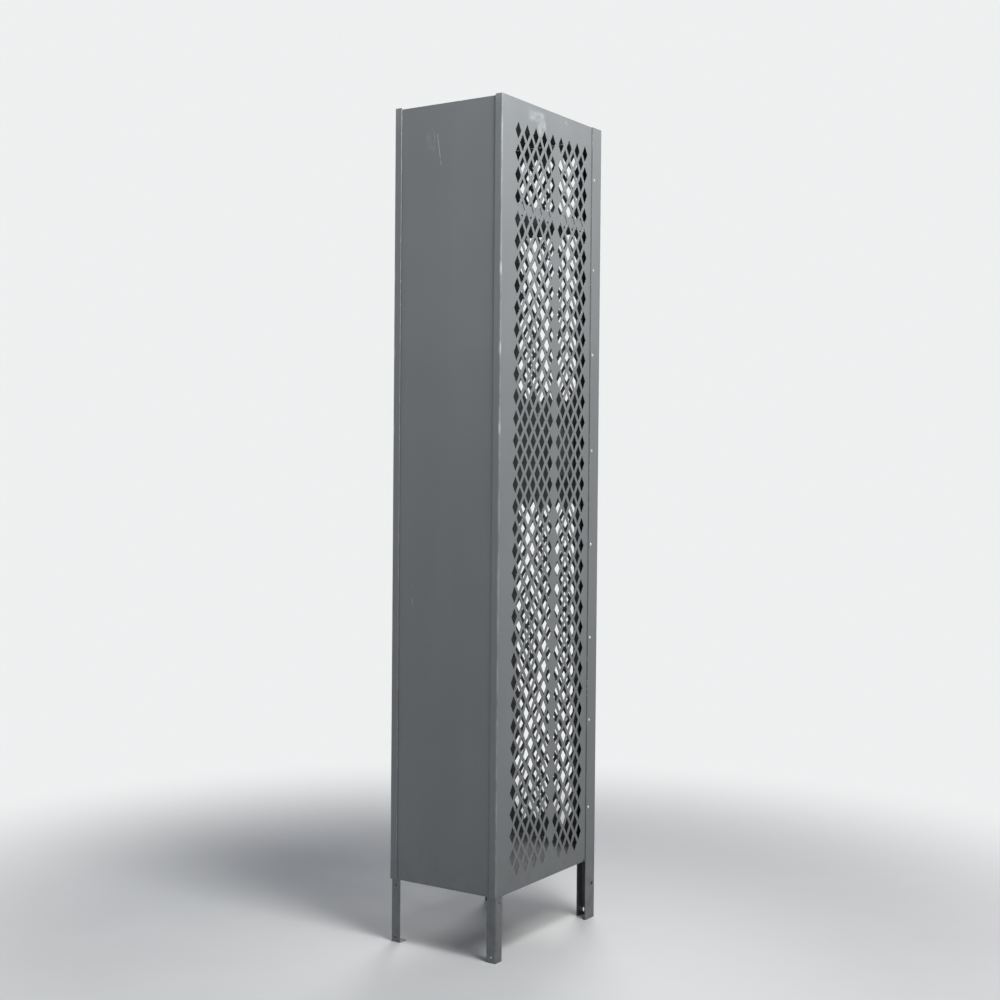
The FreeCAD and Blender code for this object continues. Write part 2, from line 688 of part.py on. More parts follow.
def padlock_staple():
    """Fixed padlock eye that stands on the floor of the recess."""
    x0 = EAR_X + STAPLE_GAP
    x1 = x0 + STAPLE_T
    floor_y = DOOR_FRONT + CUP_DEPTH - CUP_T
    plate = eye_plate(x0, x1, EYE_Y - EYE_HALF, floor_y)
    foot = box(x1, x1 + STAPLE_FOOT, floor_y - STAPLE_FOOT_T, floor_y,
               HANDLE_Z - ARM_HALF, HANDLE_Z + ARM_HALF)
    return fuse([plate, foot])


def lift_handle():
    """Latch arm with its finger lip and its padlock ear, one piece that lifts."""
    ear_left = EAR_X - ARM_T
    arm_rear = ARM_FRONT + ARM_T
    low = HANDLE_Z - ARM_HALF
    arm = box(BAR_LEFT, ear_left, ARM_FRONT, arm_rear, low, HANDLE_Z + ARM_HALF)
    lip_left = CUP_LEFT + CUP_T + GRIP_FROM_WALL
    lip_front = DOOR_FRONT + GRIP_SETBACK
    lip = rounded_plate("XY", lip_left, ear_left, lip_front, arm_rear, low, low + ARM_T, 1.2)
    nose_y = lip_front + NOSE_R - 0.4
    nose_z = low + 0.6
    nose = rod(NOSE_R, V(lip_left + OVER, nose_y, nose_z), V(ear_left, nose_y, nose_z))
    ear = eye_plate(ear_left, EAR_X, EYE_Y - EYE_HALF, EYE_Y + EYE_HALF)
    window = rounded_plate("XZ", ear_left - SHACKLE_ROOM, ear_left, HANDLE_Z - SHACKLE_HALF,
                           HANDLE_Z + SHACKLE_HALF, ARM_FRONT - OVER, arm_rear + OVER, 2.0)
    return fuse([arm.cut(window), lip, nose, ear]).cut(latch_rivet_drills())


def latch_rivet_points():
    """Where the latch arm is riveted to the lock bar."""
    heights = (HANDLE_Z - LATCH_RIVET_HALF, HANDLE_Z + LATCH_RIVET_HALF)
    return [V(FINGER_X, ARM_FRONT, z) for z in heights]


def latch_rivet_drills():
    """Drills for the arm and the bar."""
    depth = ARM_T + BAR_T + OVER
    return [rod(RIVET_R, p - V(0, OVER, 0), p + V(0, depth, 0)) for p in latch_rivet_points()]


def latch_rivets():
    """Rivets that hold the latch arm to the lock bar."""
    rivets = [dome_rivet(p, V(0, -1, 0), LATCH_RIVET_HEAD, RIVET_R, ARM_T + BAR_T)
              for p in latch_rivet_points()]
    return Part.makeCompound(rivets)


def lock_bar():
    """Flat bar in the door's latch channel, with a window round each frame hook's finger."""
    bar = rounded_plate("XZ", BAR_LEFT, BAR_RIGHT, BAR_BOTTOM, BAR_TOP,
                        BAR_FRONT, BAR_FRONT + BAR_T, 3.0)
    cuts = latch_rivet_drills()
    for z in HOOK_Z.values():
        low = z - FINGER_HALF - LATCH_LIFT - 0.5
        cuts.append(rounded_plate("XZ", FINGER_X - FINGER_ROOM, FINGER_X + FINGER_ROOM,
                                  low, z + FINGER_HALF + 0.4,
                                  BAR_FRONT - OVER, BAR_FRONT + BAR_T + OVER, 1.0))
    return bar.cut(cuts)


def lock_bar_guide(z):
    """Nylon block on the latch lip that the lock bar slides through."""
    left = BAR_LEFT - GUIDE_WALL
    right = BAR_RIGHT + GUIDE_WALL
    front = BAR_FRONT - GUIDE_FRONT_WALL
    low = z - GUIDE_HALF
    high = z + GUIDE_HALF
    outer = box(left, right, front, DOOR_REAR - DOOR_T, low, high)
    outer = outer.makeFillet(GUIDE_EDGE, edges_within(outer, (left, front, low), (right, front, high)))
    gap = GUIDE_CLEAR
    return outer.cut(box(BAR_LEFT - gap, BAR_RIGHT + gap, BAR_FRONT - gap,
                         BAR_FRONT + BAR_T + gap, low - OVER, high + OVER))


def frame_hook(z):
    """Strike hook on the latch jamb: arm behind the door lip, finger through the lip."""
    low = z - HOOK_HALF
    high = z + HOOK_HALF
    rear = HOOK_FRONT + HOOK_T
    right = FINGER_X + FINGER_T / 2
    arm = box(-JAMB, right, HOOK_FRONT, rear, low, high)
    finger = rounded_plate("YZ", BAR_FRONT - FINGER_NOSE, rear + FINGER_CORNER, z - FINGER_HALF,
                           z + FINGER_HALF, right - FINGER_T, right, FINGER_CORNER)
    behind = box(-JAMB, 0, rear, rear + FINGER_CORNER + OVER, low, high)
    return fuse([arm, finger.cut(behind)])


def frame_bumper(z):
    """Rubber pad on a frame hook that the closing door meets."""
    left = DOOR_LEFT + BUMPER_FROM_DOOR
    right = FINGER_X - BUMPER_TO_FINGER
    face = DOOR_REAR + BUMPER_CLEAR
    low = z - BUMPER_HALF
    high = z + BUMPER_HALF
    pad = box(left, right, face, HOOK_FRONT, low, high)
    return pad.makeFillet(BUMPER_EDGE, edges_within(pad, (left, face, low), (right, face, high)))


def cup_rivet_points():
    """Rivets of the handle cup, on its rim's front face."""
    points = []
    for x in (CUP_LEFT - CUP_RIM / 2, CUP_RIGHT + CUP_RIM / 2):
        for z in (HANDLE_Z - CUP_RIVET_HALF, HANDLE_Z + CUP_RIVET_HALF):
            points.append(V(x, DOOR_FRONT - CUP_T, z))
    return points


def plate_rivet_points():
    """Rivets of the number plate."""
    x = PLATE_W / 2 - PLATE_RIVET_INSET
    return [V(side * x, DOOR_FRONT - PLATE_T, PLATE_Z) for side in (-1, 1)]


def face_rivet_drills():
    """Drills for every rivet in the door's front face."""
    points = cup_rivet_points() + plate_rivet_points()
    depth = CUP_T + DOOR_T + OVER
    return [rod(SMALL_RIVET_R, p - V(0, OVER, 0), p + V(0, depth, 0)) for p in points]


def small_rivets(points, sheet):
    """Small rivets that hold a sheet of the given thickness to the door."""
    rivets = [dome_rivet(p, V(0, -1, 0), SMALL_RIVET_HEAD, SMALL_RIVET_R, sheet + DOOR_T,
                         SMALL_RIVET_TAIL) for p in points]
    return Part.makeCompound(rivets)


def number_plate():
    """Blank number plate."""
    half_w = PLATE_W / 2
    half_h = PLATE_H / 2
    plate = rounded_plate("XZ", -half_w, half_w, PLATE_Z - half_h, PLATE_Z + half_h,
                          DOOR_FRONT - PLATE_T, DOOR_FRONT, PLATE_CORNER)
    return plate.cut(face_rivet_drills())


# ---- Hinges -------------------------------------------------------------------------------
def hinge_leaf(z, on_frame):
    """One leaf with its knuckles: the frame's has the odd ones, the door's the even ones."""
    step = HINGE_HEIGHT / KNUCKLE_COUNT
    low = z - HINGE_HEIGHT / 2
    x0 = JAMB - LEAF_T if on_frame else DOOR_RIGHT
    x1 = x0 + LEAF_T
    rear = FRONT + (FRAME_LEAF_REACH if on_frame else DOOR_LEAF_REACH)
    parts = [box(x0, x1, AXIS_Y + KNUCKLE_R + LEAF_CLEAR, rear, low, low + HINGE_HEIGHT)]
    bores = []
    for index in range(0 if on_frame else 1, KNUCKLE_COUNT, 2):
        start = low + index * step + KNUCKLE_GAP / 2
        end = start + step - KNUCKLE_GAP
        parts.append(rod(KNUCKLE_R, V(AXIS_X, AXIS_Y, start), V(AXIS_X, AXIS_Y, end)))
        parts.append(box(x0, x1, AXIS_Y, AXIS_Y + KNUCKLE_R + OVER, start, end))
        bores.append(rod(PIN_HOLE_R, V(AXIS_X, AXIS_Y, start - OVER),
                         V(AXIS_X, AXIS_Y, end + OVER)))
    leaf = fuse(parts).cut(bores)
    if on_frame:
        return leaf
    return leaf.cut(hinge_rivet_drills())


def hinge_pin(z):
    """Hinge pin with a thin head at each end."""
    bottom = V(AXIS_X, AXIS_Y, z - HINGE_HEIGHT / 2)
    top = V(AXIS_X, AXIS_Y, z + HINGE_HEIGHT / 2)
    head = V(0, 0, PIN_HEAD_T)
    return fuse([rod(PIN_R, bottom, top), rod(PIN_HEAD_R, bottom - head, bottom),
                 rod(PIN_HEAD_R, top, top + head)])


def hinge_rivet_points():
    """Two rivets for each hinge, through the door leaf and the door's edge."""
    points = []
    for middle in HINGE_Z.values():
        for z in (middle - HINGE_RIVET_HALF, middle + HINGE_RIVET_HALF):
            points.append(V(DOOR_RIGHT + LEAF_T, FRONT + HINGE_RIVET_REACH, z))
    return points


def hinge_rivet_drills():
    """Drills for the hinge rivets."""
    depth = LEAF_T + DOOR_T + OVER
    return [rod(RIVET_R, p - V(depth, 0, 0), p + V(OVER, 0, 0)) for p in hinge_rivet_points()]


def hinge_rivets():
    """Flush rivets, headed on the inside of the door's edge."""
    grip = LEAF_T + DOOR_T
    rivets = [dome_rivet(p - V(grip, 0, 0), V(-1, 0, 0), HINGE_RIVET_HEAD, RIVET_R, grip)
              for p in hinge_rivet_points()]
    return Part.makeCompound(rivets)


# ---- Coat hooks ---------------------------------------------------------------------------
def prong(points, radii):
    """A bent round wire with a ball at its tip."""
    wire = Part.Wire(rounded_edges([V(a, b, 0) for a, b in points], radii, "XZ", 0))
    start = wire.Edges[0]
    circle = Part.Wire(Part.makeCircle(HOOK_WIRE_R, start.valueAt(0), start.tangentAt(0)))
    sweep = wire.makePipeShell([circle], True, True)
    tip = place("XZ", points[-1][0], points[-1][1], 0)
    return [sweep, Part.makeSphere(HOOK_BALL_R, tip)]


def wall_hook_left():
    """Single coat hook on the solid strip of the left side panel."""
    y = BACK - WALL_HOOK_FROM_BACK
    wall = -SIDE_INNER
    reach = wall + WALL_HOOK_REACH - HOOK_WIRE_R
    low = WALL_HOOK_Z - WALL_HOOK_DROP
    path = [(wall + 1, low + 8), (wall + 10, low), (reach, low + 2), (reach, WALL_HOOK_Z + 6)]
    parts = [part.translated(V(0, y, 0)) for part in prong(path, [5.0, 5.0])]
    base = rounded_plate("YZ", y - WALL_BASE_HALF_W, y + WALL_BASE_HALF_W,
                         WALL_HOOK_Z - WALL_BASE_HALF_H, WALL_HOOK_Z + WALL_BASE_HALF_H,
                         wall, wall + WALL_BASE_T, WALL_BASE_CORNER)
    in_wall = box(-SIDE - WALL_BASE_T, wall, y - WALL_BASE_HALF_W, y + WALL_BASE_HALF_W,
                  low, WALL_HOOK_Z)
    return fuse([base] + parts).cut(in_wall)


def ceiling_hook():
    """Double coat hook that hangs under the hat shelf."""
    y = (TRAY_FRONT + BACK_INNER) / 2
    under = SHELF_Z - TRAY_T
    low = under - CEILING_DROP
    path = [(0, under - 6), (0, low), (24, low), (30, low + 16)]
    arm = [part.translated(V(0, y, 0)) for part in prong(path, [9.0, 7.0])]
    arms = arm + [mirrored(part) for part in arm]
    base = rod(CEILING_BASE_R, V(0, y, under - CEILING_BASE_T), V(0, y, under))
    neck = rod(CEILING_NECK_R, V(0, y, under - CEILING_NECK_DROP), V(0, y, under))
    bore = rod(SCREW_R, V(0, y, under - CEILING_BORE), V(0, y, under + OVER))
    hook = fuse([base, neck] + arms).cut(bore)
    return hook.rotated(V(0, y, 0), V(0, 0, 1), 90)


def ceiling_hook_screw():
    """Screw through the shelf into the ceiling hook."""
    y = (TRAY_FRONT + BACK_INNER) / 2
    length = TRAY_T + CEILING_BORE - FIT_GAP
    return dome_rivet(V(0, y, SHELF_Z), V(0, 0, 1), SCREW_HEAD, SCREW_R, length)


def write_parts():
    """Every node, by name."""
    left_panel = side_panel_left()
    left_rivets = frame_rivets_left()
    left_hook = wall_hook_left()
    nodes = {
        "side_panel_left": left_panel,
        "side_panel_right": mirrored(left_panel),
        "back_panel": back_panel(),
        "top_panel": tray(TOP_Z),
        "hat_shelf": hat_shelf(),
        "floor_panel": floor_tray(),
        "frame_stile_left": stile_left(),
        "frame_stile_right": stile_right(),
        "frame_top_rail": frame_top_rail(),
        "frame_bottom_rail": frame_bottom_rail(),
        "frame_rivets_left": left_rivets,
        "frame_rivets_right": mirrored(left_rivets),
        "rear_leg_left": rear_leg_left(),
        "rear_leg_right": rear_leg_right(),
        "door_skin": door_skin(),
        "handle_cup": handle_cup(),
        "cup_rivets": small_rivets(cup_rivet_points(), CUP_T),
        "padlock_staple": padlock_staple(),
        "lift_handle": lift_handle(),
        "lock_bar": lock_bar(),
        "latch_rivets": latch_rivets(),
        "number_plate": number_plate(),
        "number_plate_rivets": small_rivets(plate_rivet_points(), PLATE_T),
        "hinge_rivets": hinge_rivets(),
        "wall_hook_left": left_hook,
        "wall_hook_right": mirrored(left_hook),
        "ceiling_hook": ceiling_hook(),
        "ceiling_hook_screw": ceiling_hook_screw(),
    }
    for place_name, z in HINGE_Z.items():
        nodes["hinge_frame_leaf_" + place_name] = hinge_leaf(z, True)
        nodes["hinge_door_leaf_" + place_name] = hinge_leaf(z, False)
        nodes["hinge_pin_" + place_name] = hinge_pin(z)
    for place_name, z in HOOK_Z.items():
        nodes["frame_hook_" + place_name] = frame_hook(z)
        nodes["frame_bumper_" + place_name] = frame_bumper(z)
    for number, z in enumerate(GUIDE_Z, 1):
        nodes["lock_bar_guide_%d" % number] = lock_bar_guide(z)
    os.makedirs("parts", exist_ok=True)
    for name, shape in nodes.items():
        solids = shape.Solids
        valid = all(solid.isValid() for solid in solids)
        print("%-24s solids %d valid %s volume %.1f cm3"
              % (name, len(solids), valid, shape.Volume / 1000))
        out = solids[0] if len(solids) == 1 else Part.makeCompound(solids)
        out.exportStep("parts/%s.step" % name)


write_parts()
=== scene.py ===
import math

import bmesh
import bpy
from mathutils import Matrix, Vector


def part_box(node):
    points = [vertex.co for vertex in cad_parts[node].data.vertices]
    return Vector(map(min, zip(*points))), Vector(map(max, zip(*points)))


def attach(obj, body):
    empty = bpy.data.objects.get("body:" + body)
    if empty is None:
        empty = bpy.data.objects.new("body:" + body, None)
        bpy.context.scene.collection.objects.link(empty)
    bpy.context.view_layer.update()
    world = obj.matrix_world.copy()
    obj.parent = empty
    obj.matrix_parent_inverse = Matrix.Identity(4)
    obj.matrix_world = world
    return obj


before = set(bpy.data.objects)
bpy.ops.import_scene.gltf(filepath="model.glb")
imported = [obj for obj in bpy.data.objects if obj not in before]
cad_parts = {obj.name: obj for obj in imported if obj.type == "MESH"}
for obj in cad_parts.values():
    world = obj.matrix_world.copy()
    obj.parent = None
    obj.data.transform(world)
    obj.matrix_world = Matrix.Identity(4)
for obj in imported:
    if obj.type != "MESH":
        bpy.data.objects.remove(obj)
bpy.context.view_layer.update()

# A ventilated steel locker seen from behind, in a plain pale studio.
# Metres, the frame's own axes: +Z up, door towards -Y. Positions come from the frame's boxes.

INCH = 0.0254
REAR_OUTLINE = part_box("side_panel_right")[1]

# A face counts as inside the cabinet from about a skin's depth below its outline.
# Out of reach is a depth at which there is no face.
SKIN = 0.0008
OUT_OF_REACH = 1.0
INSIDE_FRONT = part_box("door_skin")[0].y + SKIN
INSIDE_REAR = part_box("back_panel")[1].y - SKIN / 2
INSIDE_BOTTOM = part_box("floor_panel")[0].z
INSIDE_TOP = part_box("top_panel")[1].z - SKIN


# ---- Node helpers ---------------------------------------------------------------------------
class Graph:
    """Builds one material's nodes. Except for node and feed, a method returns an output socket."""

    def __init__(self, name):
        self.material = bpy.data.materials.new(name)
        self.material.use_nodes = True
        self.tree = self.material.node_tree
        self.tree.nodes.clear()
        self.output = self.tree.nodes.new("ShaderNodeOutputMaterial")
        self.shader = self.tree.nodes.new("ShaderNodeBsdfPrincipled")
        self.tree.links.new(self.shader.outputs[0], self.output.inputs[0])

    def node(self, kind, **settings):
        made = self.tree.nodes.new(kind)
        for key, value in settings.items():
            setattr(made, key, value)
        return made

    def feed(self, socket, value):
        """Links a socket, or sets a plain value on it."""
        if isinstance(value, bpy.types.NodeSocket):
            self.tree.links.new(value, socket)
        else:
            socket.default_value = value

    def position(self):
        """Object coordinates, which ride with each body."""
        return self.node("ShaderNodeTexCoord").outputs["Object"]

    def axis(self, which):
        """One object coordinate: X, Y or Z."""
        split = self.node("ShaderNodeSeparateXYZ")
        self.feed(split.inputs[0], self.position())
        return split.outputs[which]

    def math(self, operation, a, b=0.0, c=0.0, clamp=False):
        made = self.node("ShaderNodeMath", operation=operation, use_clamp=clamp)
        for socket, value in zip(made.inputs, (a, b, c)):
            self.feed(socket, value)
        return made.outputs[0]

    def times(self, first, *others):
        product = first
        for other in others:
            product = self.math("MULTIPLY", product, other)
        return product

    def strongest(self, first, *others):
        most = first
        for other in others:
            most = self.math("MAXIMUM", most, other)
        return most

    def smooth(self, value, low, high):
        """0 below low, 1 above high, or the other way round if low is the larger."""
        made = self.node("ShaderNodeMapRange", interpolation_type="SMOOTHSTEP")
        start, end = (0.0, 1.0) if low < high else (1.0, 0.0)
        values = (value, min(low, high), max(low, high), start, end)
        for socket, number in zip(made.inputs, values):
            self.feed(socket, number)
        return made.outputs[0]

    def span(self, value, low, high, soft):
        """1 between low and high, with soft ends."""
        return self.times(self.smooth(value, low - soft, low + soft),
                          self.smooth(value, high + soft, high - soft))

    def noise(self, scale, detail=3.0, stretch=(1.0, 1.0, 1.0), roughness=0.5, shift=0.0):
        """Noise from 0 to 1; a small number in stretch draws it out along that axis."""
        mapping = self.node("ShaderNodeMapping")
        self.feed(mapping.inputs["Vector"], self.position())
        mapping.inputs["Location"].default_value = (shift, shift, shift)
        mapping.inputs["Scale"].default_value = stretch
        made = self.node("ShaderNodeTexNoise")
        self.feed(made.inputs["Vector"], mapping.outputs[0])
        made.inputs["Scale"].default_value = scale
        made.inputs["Detail"].default_value = detail
        made.inputs["Roughness"].default_value = roughness
        return made.outputs["Fac"]

    def mix(self, factor, a, b):
        made = self.node("ShaderNodeMix", data_type="RGBA")
        self.feed(made.inputs["Factor"], factor)
        self.feed(made.inputs["A"], a)
        self.feed(made.inputs["B"], b)
        return made.outputs["Result"]

    def cover(self, colour, coat, mask, strength):
        """A coat over a colour where the mask is, as opaque as its strength."""
        return self.mix(self.times(mask, strength), colour, coat)

    def bump(self, height, distance, normal):
        """The normal after a relief of some height, as deep as a distance, is laid on it."""
        made = self.node("ShaderNodeBump")
        made.inputs["Strength"].default_value = 1.0
        made.inputs["Distance"].default_value = distance
        self.feed(made.inputs["Height"], height)
        self.feed(made.inputs["Normal"], normal)
        return made.outputs[0]

    def rounded_normal(self, radius):
        """The surface normal with the folded and cut edges softened."""
        made = self.node("ShaderNodeBevel", samples=4)
        made.inputs["Radius"].default_value = radius
        return made.outputs[0]

    def edge(self, radius):
        """1 near the edges of the sheet, 0 on its flats."""
        geometry = self.node("ShaderNodeNewGeometry")
        dot = self.node("ShaderNodeVectorMath", operation="DOT_PRODUCT")
        self.feed(dot.inputs[0], self.rounded_normal(radius))
        self.feed(dot.inputs[1], geometry.outputs["Normal"])
        return self.smooth(dot.outputs["Value"], 1.0, 0.97)

    def scratch(self, across, start, end, width, broken, seed=0.0):
        """A thin line in a vertical plane, from (across, z) to (across, z), broken by noise."""
        z = self.axis("Z")
        along = self.math("DIVIDE", self.math("SUBTRACT", z, start[1]), end[1] - start[1])
        line = self.math("MULTIPLY_ADD", along, end[0] - start[0], start[0])
        off = self.math("ABSOLUTE", self.math("SUBTRACT", across, line))
        body = self.smooth(off, width, width * 0.4)
        length = self.span(along, 0.02, 0.98, soft=0.03)
        grain = self.noise(160.0, detail=2.0, stretch=(1.0, 1.0, 0.35), shift=seed)
        return self.times(body, length, self.smooth(grain, broken, broken + 0.08))

    def patch(self, across, centre, half_size, scale, low, soft, stretch, seed):
        """A smeared or speckled mark round a point (across, z) of a vertical plane."""
        within = []
        for axis, middle, half in zip((across, self.axis("Z")), centre, half_size):
            within.append(self.span(axis, middle - half, middle + half, soft=half * 0.5))
        grain = self.noise(scale, detail=5.0, stretch=stretch, roughness=0.7, shift=seed)
        return self.times(*within, self.smooth(grain, low, low + soft))


# ---- Enamel -----------------------------------------------------------------------------------
ENAMEL = (0.139, 0.146, 0.149, 1.0)
ENAMEL_PALE = (0.164, 0.172, 0.176, 1.0)
# The pale primer colour serves the hairline scratches and the painted highlight along the edges.
PRIMER_AND_HIGHLIGHT = (0.42, 0.43, 0.43, 1.0)
# The dark colour serves the splashed dirt and the painted shade inside the cabinet.
GRIME_AND_SHADE = (0.045, 0.045, 0.042, 1.0)
# The palest colour serves chips, marks, adhesive and the painted highlight on the rear corners.
RESIDUE_AND_HIGHLIGHT = (0.55, 0.57, 0.58, 1.0)
CHIPS = 0.62
MORE_CHIPS = 0.60
SPLASH_TOP = 0.30
SHEEN_IOR = 1.5

# The rear corners are rubbed and carry a painted highlight in a band of a few millimetres. Knocks
# are in inches from the ground.
RUB_AND_HIGHLIGHT_FROM = 0.006
RUB_AND_HIGHLIGHT_TO = 0.0005
KNOCKS = (48.2, 55.3, 62.4)
KNOCK_HALF = 0.5
RUB_AND_HIGHLIGHT_STRENGTH = 0.22
KNOCK_STRENGTH = 0.6


def corner_wear_and_highlight(g):
    """Rubbing and a painted highlight on the two folded rear corners, heaviest where the locker was
    knocked.
    """
    x = g.math("ABSOLUTE", g.axis("X"))
    line = g.times(g.smooth(x, REAR_OUTLINE.x - RUB_AND_HIGHLIGHT_FROM, REAR_OUTLINE.x - RUB_AND_HIGHLIGHT_TO),
                   g.smooth(g.axis("Y"), REAR_OUTLINE.y - RUB_AND_HIGHLIGHT_FROM, REAR_OUTLINE.y - RUB_AND_HIGHLIGHT_TO))
    z = g.axis("Z")
    grain = g.noise(26.0, detail=5.0, stretch=(1.0, 1.0, 0.5), roughness=0.65)
    # The band along each rear corner is partly rubbed paint and partly a painted highlight.
    wear_and_highlight = g.times(line, g.smooth(grain, 0.36, 0.66), RUB_AND_HIGHLIGHT_STRENGTH)
    for height in KNOCKS:
        low = (height - KNOCK_HALF) * INCH
        high = (height + KNOCK_HALF) * INCH
        knock = g.span(z, low, high, soft=0.012)
        wear_and_highlight = g.strongest(wear_and_highlight, g.times(line, knock, KNOCK_STRENGTH))
    return wear_and_highlight


def painted_shade_inside(g, buried):
    """1 on the faces inside the cabinet, more than a depth below its sides; these get painted
    shade.
    """
    sharp = SKIN / 4
    edge = REAR_OUTLINE.x - buried
    across = g.smooth(g.math("ABSOLUTE", g.axis("X")), edge + sharp, edge - sharp)
    deep = g.span(g.axis("Y"), INSIDE_FRONT, INSIDE_REAR, sharp)
    tall = g.span(g.axis("Z"), INSIDE_BOTTOM, INSIDE_TOP, sharp)
    return g.times(across, deep, tall)


def fine_scratches(g):
    """Sparse faint hairlines from years of handling."""
    hairs = g.noise(260.0, detail=2.0, stretch=(1.0, 1.0, 0.05), roughness=0.4, shift=4.0)
    where = g.noise(6.0, shift=3.0)
    return g.times(g.smooth(hairs, 0.72, 0.80), g.smooth(where, 0.50, 0.66))


def bare_and_highlit_spots(g, edge, inside, marks, chips):
    """Chips along the edges, and the wear, marks and painted corner highlight of the outer faces.
    """
    grain = g.noise(70.0, detail=5.0, roughness=0.7)
    chip = g.times(edge, g.smooth(grain, chips, chips + 0.03))
    worn_and_highlit = g.strongest(corner_wear_and_highlight(g), *(marks(g) if marks else ()))
    return g.strongest(chip, g.times(worn_and_highlit, g.math("SUBTRACT", 1.0, inside)))


def enamel_colour(g, edge, inside, hair, bare_and_highlit):
    """Mottled grey under painted shade inside the cabinet, hairlines, rubbed edges with a painted
    highlight and splashed dirt.
    """
    cloud = g.smooth(g.noise(2.3, detail=4.0), 0.35, 0.68)
    wipe = g.smooth(g.noise(14.0, stretch=(1.0, 1.0, 0.12)), 0.3, 0.75)
    mottle = g.math("MULTIPLY_ADD", wipe, 0.3, g.times(cloud, 0.6))
    painted_shade_strength = g.math("MULTIPLY_ADD", g.noise(18.0, detail=4.0), 0.3, 0.32)
    rub_and_highlight = g.times(edge, g.smooth(g.noise(22.0, detail=4.0), 0.46, 0.62))
    splashes = g.noise(30.0, detail=5.0, roughness=0.65)
    dirt = g.times(g.smooth(g.axis("Z"), SPLASH_TOP, 0.0), g.smooth(splashes, 0.42, 0.7))
    colour = g.mix(mottle, ENAMEL, ENAMEL_PALE)
    # Painted shade: faces inside the cabinet are darkened by the dark colour, as if in shadow.
    colour = g.cover(colour, GRIME_AND_SHADE, inside, strength=painted_shade_strength)
    colour = g.cover(colour, PRIMER_AND_HIGHLIGHT, hair, strength=0.10)
    # Edges are lightened, partly as thin rubbed paint and partly as a painted highlight.
    colour = g.cover(colour, PRIMER_AND_HIGHLIGHT, rub_and_highlight, strength=0.35)
    colour = g.cover(colour, GRIME_AND_SHADE, dirt, strength=0.45)
    # Chips, marks, corner rubbing and the painted corner highlight take the palest colour.
    return g.mix(bare_and_highlit, colour, RESIDUE_AND_HIGHLIGHT)


def enamel(name, marks=None, chips=CHIPS, buried=SKIN):
    """Satin baked enamel on thin sheet: mottled, lightly rippled, chipped along its edges."""
    g = Graph(name)
    edge = g.edge(0.0016)
    inside = painted_shade_inside(g, buried)
    hair = fine_scratches(g)
    bare_and_highlit = bare_and_highlit_spots(g, edge, inside, marks, chips)
    smear = g.noise(9.0, detail=5.0, stretch=(1.0, 1.0, 0.3), roughness=0.6)
    rough = g.math("MULTIPLY_ADD", smear, 0.20, 0.30)
    rough = g.math("MULTIPLY_ADD", g.strongest(bare_and_highlit, hair, inside), 0.25, rough, clamp=True)
    peel = g.bump(g.noise(420.0, detail=2.0), 0.00006, g.rounded_normal(0.0008))
    ripple = g.bump(g.noise(2.6, detail=1.0, stretch=(1.0, 1.0, 0.5)), 0.004, peel)
    chipped = g.bump(g.math("SUBTRACT", 1.0, bare_and_highlit), 0.00006, ripple)
    g.feed(g.shader.inputs["Base Color"], enamel_colour(g, edge, inside, hair, bare_and_highlit))
    g.feed(g.shader.inputs["Roughness"], rough)
    g.feed(g.shader.inputs["Normal"], chipped)
    g.shader.inputs["IOR"].default_value = SHEEN_IOR
    return g.material


def on_back(inward, up):
    """A point of the back, in inches inward from its edge and up from the ground."""
    return REAR_OUTLINE.x - inward * INCH, up * INCH


def on_side(forward, up):
    """A point of a side, in inches forward from the rear and up from the ground."""
    return REAR_OUTLINE.y - forward * INCH, up * INCH


def back_marks(g):
    """The scratches and the scuff on the plain back."""
    x = g.axis("X")
    long_one = g.scratch(x, on_back(4.75, 75.1), on_back(5.2, 72.2), width=0.0010, broken=0.43)
    faint = g.scratch(x, on_back(2.3, 34.3), on_back(2.25, 27.5), width=0.0009, broken=0.50,
                      seed=3.0)
    scuff = g.patch(x, on_back(4.1, 74.6), half_size=(0.016, 0.020), scale=42.0, low=0.47,
                    soft=0.30, stretch=(1.0, 1.0, 0.35), seed=5.0)
    return [g.times(long_one, 0.55), g.times(faint, 0.45), g.times(scuff, 0.30)]


def side_marks(g):
    """Old adhesive near the top of the panel, a short scratch and a rubbed top corner with a
    painted highlight.
    """
    y = g.axis("Y")
    glue = g.patch(y, on_side(5.9, 76.9), half_size=(0.030, 0.013), scale=20.0, low=0.40,
                   soft=0.35, stretch=(1.0, 1.0, 1.2), seed=2.0)
    run = g.patch(y, on_side(6.7, 76.2), half_size=(0.016, 0.022), scale=24.0, low=0.42,
                  soft=0.30, stretch=(1.0, 1.2, 0.8), seed=9.0)
    tick = g.scratch(y, on_side(11.0, 77.55), on_side(11.3, 77.2), width=0.0012, broken=0.30,
                     seed=6.0)
    # The top of the rear corner is lightened, partly as rubbed paint and partly as a painted
    # highlight.
    corner = g.patch(y, on_side(0.4, 77.3), half_size=(0.012, 0.030), scale=22.0, low=0.35,
                     soft=0.4, stretch=(1.0, 1.0, 0.6), seed=4.0)
    return [g.times(glue, 0.55), g.times(run, 0.38), g.times(tick, 0.8), g.times(corner, 0.28)]


# ---- Metal, nylon and rubber ------------------------------------------------------------------
RIVET = (0.86, 0.86, 0.84, 1.0)
RIVET_DULL = (0.62, 0.62, 0.60, 1.0)
ZINC = (0.60, 0.61, 0.62, 1.0)
ZINC_DULL = (0.36, 0.37, 0.38, 1.0)
PLATE = (0.50, 0.50, 0.49, 1.0)
PLATE_DULL = (0.34, 0.34, 0.335, 1.0)
NYLON = (0.74, 0.72, 0.65, 1.0)
NYLON_AGED = (0.60, 0.58, 0.50, 1.0)
RUBBER = (0.016, 0.016, 0.017, 1.0)
RUBBER_DUST = (0.07, 0.068, 0.064, 1.0)


